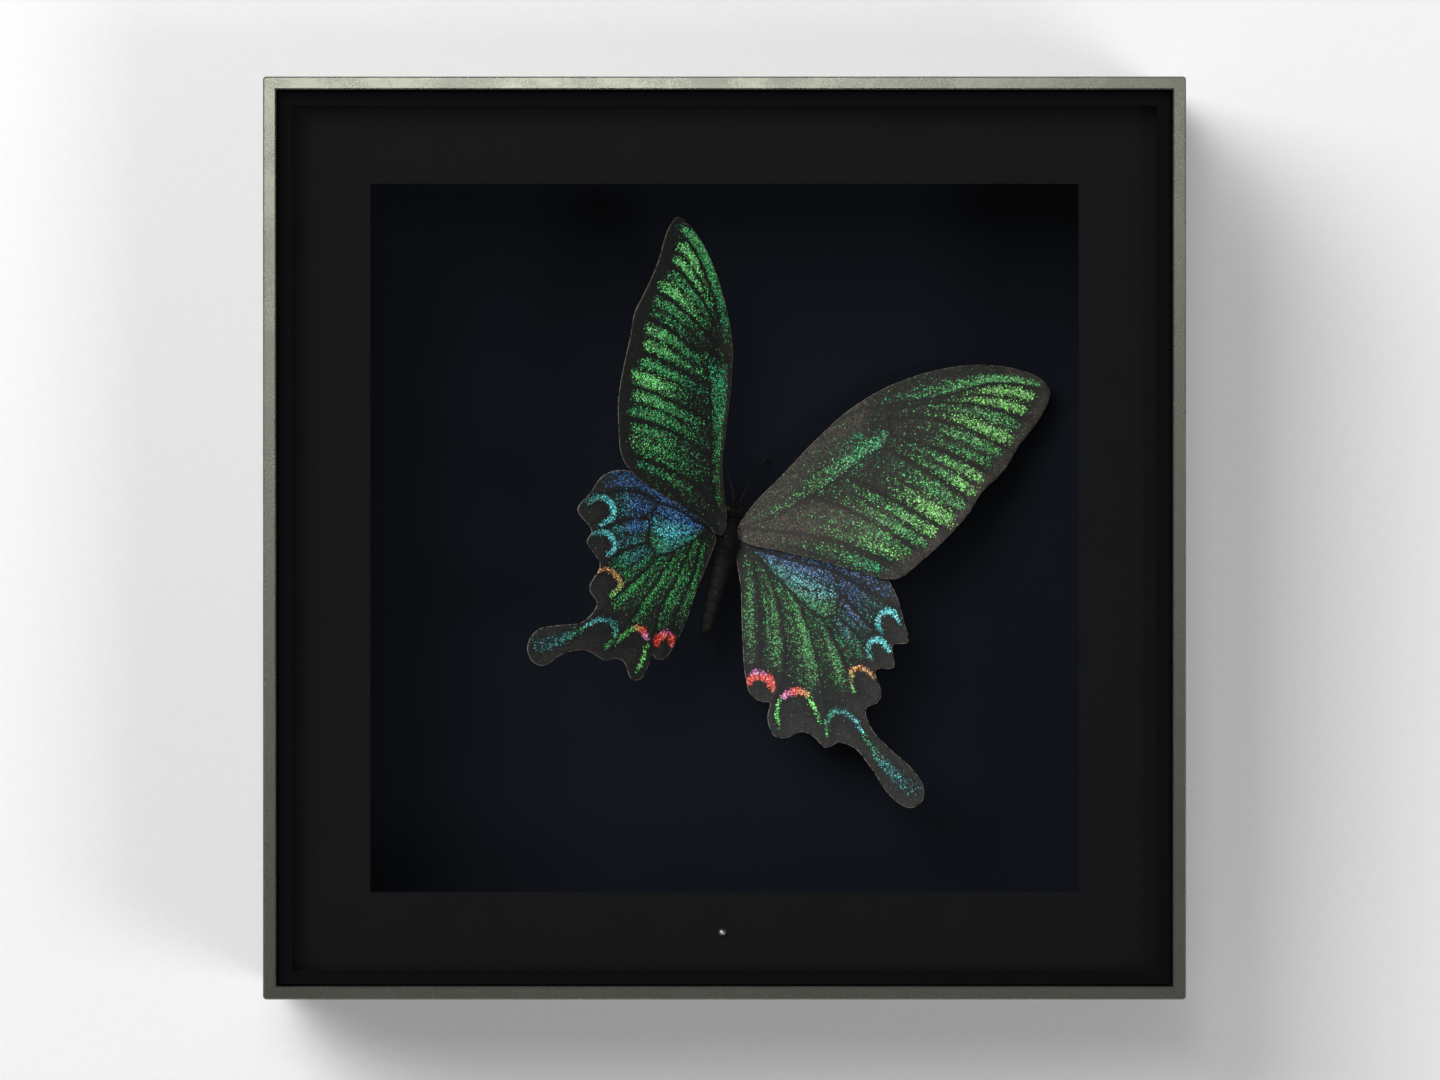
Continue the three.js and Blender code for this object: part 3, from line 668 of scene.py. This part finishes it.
def paintWing(points, wing, streaks, moons, washes, groove):  # share of lit scales, colour, pale wash
    lit, weight = np.zeros(len(points)), np.full(len(points), 1e-4)
    colour = np.outer(weight, scales["moss"])

    def stroke(path, width, names, strength, fade, lightingTint):
        nonlocal lit, weight, colour
        gap, along = gapTo(points, path)
        width = np.interp(along, np.linspace(0, 1, len(width)), width)
        mask = strength * np.interp(along, (0, 0.35, 0.72, 1), fade) * np.exp(-(gap / width) ** 3)
        tints = np.column_stack([
            np.interp(along, (0, 0.5, 1), [scales[n][i] * lightingTint[i] for n in names]) for i in range(3)])
        lit = np.maximum(lit, mask)
        weight = weight + mask ** 2
        colour = colour + tints * mask[:, None] ** 2

    lines = {**wing["veins"], **wing["edges"]}
    if "rs" in lines:  # beside the cell, and beyond it
        lines["rsIn"], lines["rsOut"] = lines["rs"][:3], lines["rs"][2:]
    for first, second, across, start, end, broad, names, strength in streaks + wing.get("more", []):
        path, room = between(lines, first, second, across, start, end)
        width = np.maximum(wingPaint["leastWidth"], wingPaint["streakWidth"] * broad * room)
        stroke(path, width, names.split(), strength, wing["fade"], wing["lightingTint"])
    lit = lit * (1 - wingPaint["grooveDark"] * groove)
    spots = [smoothPath(wing["moons"][line], 0.4) for line, *_ in moons]
    for path, (_, halfWidth, names, strength) in zip(spots, moons):
        width = np.multiply(halfWidth, wingPaint["spotWidth"])
        stroke(path, width, names.split(), strength, wingPaint["spotFade"], (1, 1, 1))
    # painted sheen: a pale grey-brown wash along the given paths stands in for light on the scales; it
    # also greys the hindwing margins
    sheenAndGrey = np.zeros(len(points))
    for path, halfWidth, strength in washes:
        gap = gapTo(points, smoothPath(path, 1.0))[0]
        sheenAndGrey = np.maximum(sheenAndGrey, strength * np.clip(1.6 * (1 - gap / halfWidth), 0, 1))
    for path in spots:  # the wash stops short of the spots
        sheenAndGrey *= np.clip((gapTo(points, path)[0] - 0.4) / 1.8, 0.1, 1)
    if "darkSpot" in wing:
        x, z, size = wing["darkSpot"]
        hole = np.exp(-(((points[:, 0] - x) ** 2 + (points[:, 1] - z) ** 2) / size ** 2) ** 2)
        lit, sheenAndGrey = lit * (1 - 0.9 * hole), sheenAndGrey * (1 - 0.85 * hole)
    return lit, colour / weight[:, None], sheenAndGrey


def buildWing(name, node, wing, streaks, moons, washes, material, slot):
    step = wingMesh["step"]
    rim = smoothPath(wing["outline"], step, True)
    veins = [smoothPath(path, step) for path in wing["veins"].values()]
    low, high = rim.min(axis=0), rim.max(axis=0)
    xs, zs = np.arange(low[0], high[0], step), np.arange(low[1], high[1], step * 0.866)
    grid = np.array([(x + (i % 2) * step / 2, z) for i, z in enumerate(zs) for x in xs])
    grid = grid[insideOutline(grid, rim)]
    near = gapTo(grid, np.vstack([rim, rim[:1]]))[0] < 0.55 * step
    for path in veins:
        near |= gapTo(grid, path)[0] < 0.5 * step
    spots, bonds = [*rim], []
    for path in veins:
        kept = path[insideOutline(path, rim) & (gapTo(path, np.vstack([rim, rim[:1]]))[0] > 0.4 * step)]
        bonds += [(len(spots) + i, len(spots) + i + 1) for i in range(len(kept) - 1)]
        spots += [*kept]
    spots += [*grid[~near]]
    border = [list(range(len(rim)))]
    flat, _, faces, *_ = delaunay_2d_cdt([Vector(p) for p in spots], bonds, border, 1, 1e-5)
    flat = np.array([tuple(p) for p in flat])
    faces = [tuple(side) for side in faces]

    sheet = wing["sheet"]
    out = sheet["side"] * (flat[:, 0] - thorax[0])
    lift = sheet["root"] + sheet["rise"] * out - sheet["bow"] * out ** 2
    lift = lift + sheet["pitch"] * (flat[:, 1] - thorax[2])
    veinGap = np.min([gapTo(flat, path)[0] for path in veins], axis=0)
    rimGap = gapTo(flat, np.vstack([rim, rim[:1]]))[0]
    first, last = wing["margin"]
    marginGap = gapTo(flat, smoothPath(wing["outline"][first:last], 1.0))[0]
    relief = wingMesh["hollow"] * (1 - np.exp(-(veinGap / wingMesh["hollowWidth"]) ** 2))
    relief = relief * np.clip(rimGap / 1.5, 0, 1)
    vein = wingMesh["veinRise"] * np.exp(-(veinGap / wingMesh["veinWidth"]) ** 2)
    relief = relief - vein * np.clip(rimGap / 0.6, 0, 1)
    depth = thorax[1] - lift + wing["drop"] + relief
    half = 0.5 * wingMesh["thick"] * math.hypot(1, sheet["rise"])
    front = np.column_stack([flat[:, 0], depth - half, flat[:, 1]])
    back = np.column_stack([flat[:, 0], depth + half, flat[:, 1]])

    def facesFront(side):
        a, b, c = (flat[i] for i in side[:3])
        return (b[0] - a[0]) * (c[1] - a[1]) - (b[1] - a[1]) * (c[0] - a[0]) > 0

    faces = [side if facesFront(side) else side[::-1] for side in faces]
    count, used = len(flat), {}
    for side in faces:
        for i, j in zip(side, side[1:] + side[:1]):
            used[(i, j)] = True
    both = faces + [tuple(i + count for i in side[::-1]) for side in faces]
    both += [(j, i, i + count, j + count) for i, j in used if (j, i) not in used]
    piece = addPiece(name, np.vstack([front, back]), both, material, slot, [node])

    names = [n for n in wing["veins"] if n[:4] != "cell" and n != "tail"]
    folds = [between(wing["veins"], a, b, 0.5, 0.08, 0.98)[0] for a, b in zip(names, names[1:])]
    foldGap = np.min([gapTo(flat, path)[0] for path in folds], axis=0)
    groove = np.exp(-(veinGap / wingPaint["veinWidth"]) ** 2)
    fold = wingPaint["foldDark"] * np.exp(-(foldGap / wingPaint["foldWidth"]) ** 2)
    lit, colour, sheenAndGrey = paintWing(flat, wing, streaks, moons, washes, np.maximum(groove, fold))
    paint = np.column_stack([colour, lit]).astype(np.float32)
    held = piece.data.attributes.new("scaleTint", "FLOAT_COLOR", "POINT")
    held.data.foreach_set("color", np.vstack([paint, paint]).ravel())
    measures = {"scaleSheenAndGrey": sheenAndGrey, "grooveDark": groove, "veinGap": veinGap, "rimGap": rimGap,
                "marginGap": marginGap}
    for key, values in measures.items():
        held = piece.data.attributes.new(key, "FLOAT", "POINT")
        held.data.foreach_set("value", np.r_[values, values].astype(np.float32))
    print(name, len(both), "faces")


def wingFinish(name, look):
    f = Finish(name)
    lit = f.node("ShaderNodeAttribute", {"attribute_name": "scaleTint"}, {}, "Alpha")
    tint = f.node("ShaderNodeAttribute", {"attribute_name": "scaleTint"}, {}, "Color")
    sheenAndGrey, groove, veinGap, rimGap, marginGap = (
        f.node("ShaderNodeAttribute", {"attribute_name": key}, {}, "Fac")
        for key in ("scaleSheenAndGrey", "grooveDark", "veinGap", "rimGap", "marginGap"))
    cell = {"Vector": f.at, "Scale": 1000 / look["scale"]}
    chance = f.node("ShaderNodeTexVoronoi", {"feature": "F1"}, cell, "Color")
    core = f.node("ShaderNodeTexVoronoi", {"feature": "F1"}, cell, "Distance")
    first, second, third = (f.node("ShaderNodeSeparateColor", {}, {0: chance}, i) for i in range(3))
    patchy = f.noise(0.9, 3, 0.6)
    dust = look["dust"] * f.step(patchy, 0.35, 0.7) * f.step(marginGap, *look["dustFrom"])
    dust = dust * (1 - 0.8 * groove)
    share = look["density"] * lit * (0.4 + 1.2 * patchy) + dust
    shown = f.step(share - first, -0.05, 0.05)  # each scale is lit or dark
    # each scale's brightness differs at random; the brightest go past full reflectance as painted sparkle
    glow = (0.1 + 2.3 * second ** 4 + 0.15 * lit) * (1.15 - 0.6 * core)
    # painted glints: on a random share of lit scales a paler copy of the colour stands in for highlights
    # off the scales
    glint = f.mix(look["glintPale"], f.dim(tint, 2.0), (0.8, 0.86, 0.78, 1))
    glinting = f.step(third, 0.78, 0.95) * lit * look["glint"]
    scale = f.mix(glinting, f.dim(tint, glow * look["bright"]), glint)
    # the ground pales to the sheen colour under the wash: painted sheen
    ground = f.mix(sheenAndGrey * (0.55 + 0.9 * patchy), tone(*look["ground"]), tone(*look["sheenAndGrey"]))
    ground = f.dim(ground, (0.25 + 1.9 * second ** 2 + 0.2 * third) * (1 - look["grooveDark"] * groove))
    ground = f.mix(f.step(marginGap, 0.4, 2.6, look["marginDark"], 0.0), ground, tone(*look["marginTone"]))
    colour = f.mix(shown, ground, scale)
    # veins pale under the painted sheen as well
    veinTone = f.mix(sheenAndGrey, tone(*look["veinTone"]), tone(*look["veinPale"]))
    colour = f.mix(f.step(veinGap, 0.06, 0.26, look["veinDark"], 0.0), colour, veinTone)
    # painted highlight: a thin, patchy pale line along the wing edge stands in for light caught at the
    # edge
    rim = f.step(rimGap, 0.02, 0.17, look["rimLit"], 0.0) * f.step(patchy, 0.38, 0.55)
    colour = f.mix(rim, colour, tone(*look["rimHighlightTone"]))
    rough = 0.62 - 0.2 * shown * lit
    return f.coated({"Base Color": colour, "Roughness": rough, "Specular IOR Level": 0.35,
                     "Normal": f.bump(second - core, 0.05, 0.45)})


forewingLook = {
    "scale": 0.2, "density": 0.72, "dust": 0.16, "dustFrom": (2.0, 5.0), "bright": 1.5,
    "glint": 0.9, "glintPale": 0.62, "ground": (16, 18, 17), "sheenAndGrey": (84, 75, 68), "grooveDark": 0.75,
    "marginDark": 0.35, "marginTone": (24, 22, 20), "veinDark": 0.8, "veinTone": (14, 13, 12),
    "veinPale": (66, 58, 50), "rimLit": 0.9, "rimHighlightTone": (128, 116, 102)}
hindwingLook = {
    "scale": 0.2, "density": 0.62, "dust": 0.2, "dustFrom": (3.0, 8.0), "bright": 1.3,
    "glint": 0.75, "glintPale": 0.45, "ground": (20, 21, 21), "sheenAndGrey": (48, 45, 44), "grooveDark": 0.5,
    "marginDark": 0.2, "marginTone": (30, 28, 28), "veinDark": 0.8, "veinTone": (12, 12, 12),
    "veinPale": (40, 37, 35), "rimLit": 0.95, "rimHighlightTone": (150, 142, 132)}
forewingScales = wingFinish("forewingScales", forewingLook)
hindwingScales = wingFinish("hindwingScales", hindwingLook)
# paths of the pale wash: path, half width in mm, strength; the right forewing, which faces the light, gets
# the strongest painted sheen
rightWash = [([(3, 2), (14, 16), (24, 24)], 6.0, 0.5), ([(4, 0.5), (16, 3), (28, 2)], 6.0, 0.65),
             ([(10, 6), (30, 14), (46, 18)], 24.0, 0.18), (rightForewing["outline"][8:19], 3.2, 0.6)]
leftWash = [([(0.5, 3), (0, 14), (0.8, 27), (0.6, 40)], 2.0, 0.35)]
buildWing("rightForewing", "right_forewing", rightForewing, forewingStreaks, [], rightWash, forewingScales,
          "forewing_scales")
buildWing("leftForewing", "left_forewing", leftForewing, forewingStreaks, [], leftWash, forewingScales,
          "forewing_scales")
buildWing("rightHindwing", "right_hindwing", rightHindwing, hindwingStreaks, hindwingMoons,
          [(rightHindwing["outline"][6:32], 4.5, 0.7)], hindwingScales, "hindwing_scales")
buildWing("leftHindwing", "left_hindwing", leftHindwing, hindwingStreaks, hindwingMoons,
          [(leftHindwing["outline"][7:30], 4.0, 0.6)], hindwingScales, "hindwing_scales")


# the body: axes are right, forward and back of the insect, in mm from the middle of the thorax
forward = np.array([0.2, 0.15, 0.97]) / np.linalg.norm([0.2, 0.15, 0.97])
right = np.cross(forward, (0.42, -0.9, 0.0))
right /= np.linalg.norm(right)
bodyAxes = np.column_stack([right, forward, np.cross(right, forward)])
trunk = {"thorax": (2.0, 4.6, 2.3), "head": (1.4, 1.3, 1.3), "headAt": (0, 5.5, -0.3),
         "palp": (0.32, 0.85, 0.4), "palpAt": (0.35, 6.9, 0.0), "dark": (4, 4, 5), "pale": (14, 13, 12),
         "spark": (48, 72, 42), "sparkScale": 3600.0}
abdomen = {"start": -1.0, "length": 17.6, "girth": 1.95, "taper": 0.72, "rings": 8, "swell": 0.1,
           "sag": 0.4}
legs = {"radius": 0.2, "pairs": [  # places of hip, knee, heel and toe along the body, and the spread
    (2.6, 4.6, 3.4, 5.8, 2.6), (-0.9, -0.6, -2.8, -4.6, 3.4), (-2.4, -4.4, -6.2, -8.4, 3.0)]}
compoundEyes = {"radii": (0.75, 0.85, 0.85), "swell": 1.01, "place": (1.15, 5.8, -0.1),
                "dark": (18, 14, 12), "pale": (46, 34, 26)}
fur = {"hairs": 2600, "length": (0.8, 1.9), "width": 0.035, "dark": (6, 6, 6), "pale": (24, 22, 19)}
antenna = {"radius": 0.16, "club": 0.34, "rings": 34, "dark": (12, 10, 9), "pale": (30, 25, 21),
           "path": [(0.55, 7.45, 0.75), (1.3, 9.6, 0.6), (2.9, 13.2, -0.4), (5.6, 17.6, -1.9)]}
mountingPin = {"radius": 0.33, "rows": 24, "dark": (0.42, 0.42, 0.43, 1), "pale": (0.62, 0.62, 0.62, 1)}


def onBody(points):
    return np.asarray(points, float) @ bodyAxes.T + thorax


def lump(centre, radii, rows=18, sides=28):  # a rounded part of the trunk
    points = []
    for i in range(rows + 1):
        lean = math.pi * i / rows
        for j in range(sides):
            turn = 2 * math.pi * j / sides
            around = math.sin(lean)
            points.append((around * math.cos(turn), math.cos(lean), around * math.sin(turn)))
    return onBody(np.array(points) * radii + centre), ringFaces(rows, sides)


def abdomenShape():
    rows, path, radii = 96, [], []
    for i in range(rows + 1):
        share = i / rows
        ring = share * abdomen["rings"] % 1
        radius = abdomen["girth"] * math.sqrt(1 - abdomen["taper"] * share ** 1.6)
        radius *= 1 - abdomen["swell"] * (1 - math.sin(math.pi * ring) ** 0.5)
        cap = min(1.0, (1 - share) * 9)  # the tip rounds off
        along = abdomen["start"] - share * abdomen["length"]
        path.append((0, along, -abdomen["sag"] * (2 * share) ** 2))
        radii.append(max(0.05, radius * math.sqrt(cap * (2 - cap))))
    return tube(onBody(path), radii, 28)


def legPaths():
    for hip, knee, heel, toe, spread in legs["pairs"]:
        for side in (-1, 1):
            yield [(side * 0.8, hip, -1.5), (side * spread * 0.6, (hip + knee) / 2, -3.2),
                   (side * spread, knee, -3.4), (side * (spread - 0.2), heel, -4.8),
                   (side * (spread + 0.3), toe, -5.4)]


def bodyFinish():
    f = Finish("bodyFur")
    hair = f.noise(0.35, 4, 0.65)
    cloud = f.noise(1.6, 3, 0.5)
    cell = {"Vector": f.at, "Scale": trunk["sparkScale"]}
    chance = f.node("ShaderNodeTexVoronoi", {"feature": "F1"}, cell, "Color")
    spark = f.node("ShaderNodeSeparateColor", {}, {0: chance}, 0)
    ground = f.mix(0.6 * hair + 0.4 * cloud, tone(*trunk["dark"]), tone(*trunk["pale"]))
    colour = f.mix(f.step(spark + 0.3 * cloud, 1.12, 1.2), ground, tone(*trunk["spark"]))
    return f.coated({"Base Color": colour, "Roughness": 0.5 + 0.3 * hair, "Specular IOR Level": 0.16,
                     "Normal": f.bump(hair, 0.12, 0.7)})


def hornFinish(name, pale, dark):
    f = Finish(name)
    grain = f.noise(0.6, 3, 0.6)
    colour = f.mix(grain, tone(*dark), tone(*pale))
    return f.coated({"Base Color": colour, "Roughness": 0.3 + 0.2 * grain, "Specular IOR Level": 0.25,
                     "Normal": f.bump(grain, 0.02, 0.4)})


def pinFinish():
    f = Finish("pinSteel")
    drawn = f.noise(0.5, 3, 0.6, f.stretched(3, 0.2, 3))
    colour = f.mix(drawn, mountingPin["dark"], mountingPin["pale"])
    return f.coated({"Base Color": colour, "Metallic": 1.0, "Roughness": 0.22 + 0.16 * drawn})


def buildBody():
    parts = [lump((0, 0, 0), trunk["thorax"]), lump(trunk["headAt"], trunk["head"]), abdomenShape()]
    for side in (-1, 1):
        parts.append(lump(np.array(trunk["palpAt"]) * (side, 1, 1), trunk["palp"], 10, 14))
    for path in legPaths():
        run = smoothPath(onBody(path), 0.25)
        share = np.linspace(0, 1, len(run))
        joint = np.exp(-((share - 0.3) / 0.03) ** 2) + np.exp(-((share - 0.68) / 0.03) ** 2)
        parts.append(tube(run, legs["radius"] * (1.05 - 0.45 * share) * (1 + 0.25 * joint), 8))
    addPiece("specimenBody", *joined(parts), bodyFinish(), "body_fur", ["body"])
    place, radii = np.array(compoundEyes["place"]), np.array(compoundEyes["radii"]) * compoundEyes["swell"]
    eyes = [lump(place * (side, 1, 1), radii, 16, 24) for side in (-1, 1)]
    finish = hornFinish("eyeHorn", compoundEyes["pale"], compoundEyes["dark"])
    addPiece("compoundEyes", *joined(eyes), finish, "horn")


def buildFur():
    parts = []
    chest, head, headAt = (np.array(trunk[key]) for key in ("thorax", "head", "headAt"))
    for i in range(fur["hairs"]):
        way = dice.normal(size=3)
        way /= np.linalg.norm(way)
        onHead = i % 5 == 0
        centre, radii = (headAt, head) if onHead else (np.zeros(3), chest)
        root = centre + way * radii * 0.96
        normal = way / radii
        normal /= np.linalg.norm(normal)
        lean = normal + (0, -0.75, 0) + dice.normal(size=3) * 0.28  # hairs lie backwards
        lean /= np.linalg.norm(lean)
        length = dice.uniform(*fur["length"]) * (0.6 if onHead else 1)
        bend = root + lean * length * 0.55
        tip = bend + (lean * 0.8 + np.array((0, -0.5, 0))) * length * 0.4
        parts.append(tube(onBody([root, bend, tip]), np.array([1.0, 0.8, 0.15]) * fur["width"], 3))
    f = Finish("furHair")
    tuft = f.noise(0.8, 2, 0.5)
    colour = f.mix(tuft, tone(*fur["dark"]), tone(*fur["pale"]))
    finish = f.coated({"Base Color": colour, "Roughness": 0.5 + 0.2 * tuft, "Specular IOR Level": 0.2})
    hairs = addPiece("thoraxFur", *joined(parts), finish, "body_fur")
    print("fur", len(hairs.data.polygons), "faces")


def buildAntennae():
    finish = hornFinish("antennaHorn", antenna["pale"], antenna["dark"])
    for side, name in ((-1, "left"), (1, "right")):
        run = smoothPath(onBody(np.array(antenna["path"]) * (side, 1, 1)), 0.06)
        share = np.linspace(0, 1, len(run))
        radii = antenna["radius"] * (0.75 + 0.2 * np.abs(np.sin(share * math.pi * antenna["rings"])))
        radii = radii + (antenna["club"] - antenna["radius"]) * np.clip((share - 0.86) / 0.1, 0, 1) ** 1.5
        radii[-6:] *= np.array([0.97, 0.9, 0.8, 0.64, 0.42, 0.12])
        addPiece(name + "Antenna", *tube(run, radii, 10), finish, "horn", [name + "_antenna"])


def buildPin():
    low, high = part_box("mounting_pin")
    rows = mountingPin["rows"]
    ys = np.linspace(low[1] / mm, high[1] / mm, rows)
    radii = np.full(rows, mountingPin["radius"])
    radii[:3] *= (0.2, 0.6, 0.9)
    path = np.column_stack([np.full(rows, thorax[0]), ys, np.full(rows, thorax[2])])
    addPiece("mountingPin", *tube(path, radii, 16), pinFinish(), "pin_steel", ["mounting_pin"])


buildBody()
buildFur()
buildAntennae()
buildPin()
print("specimen built")
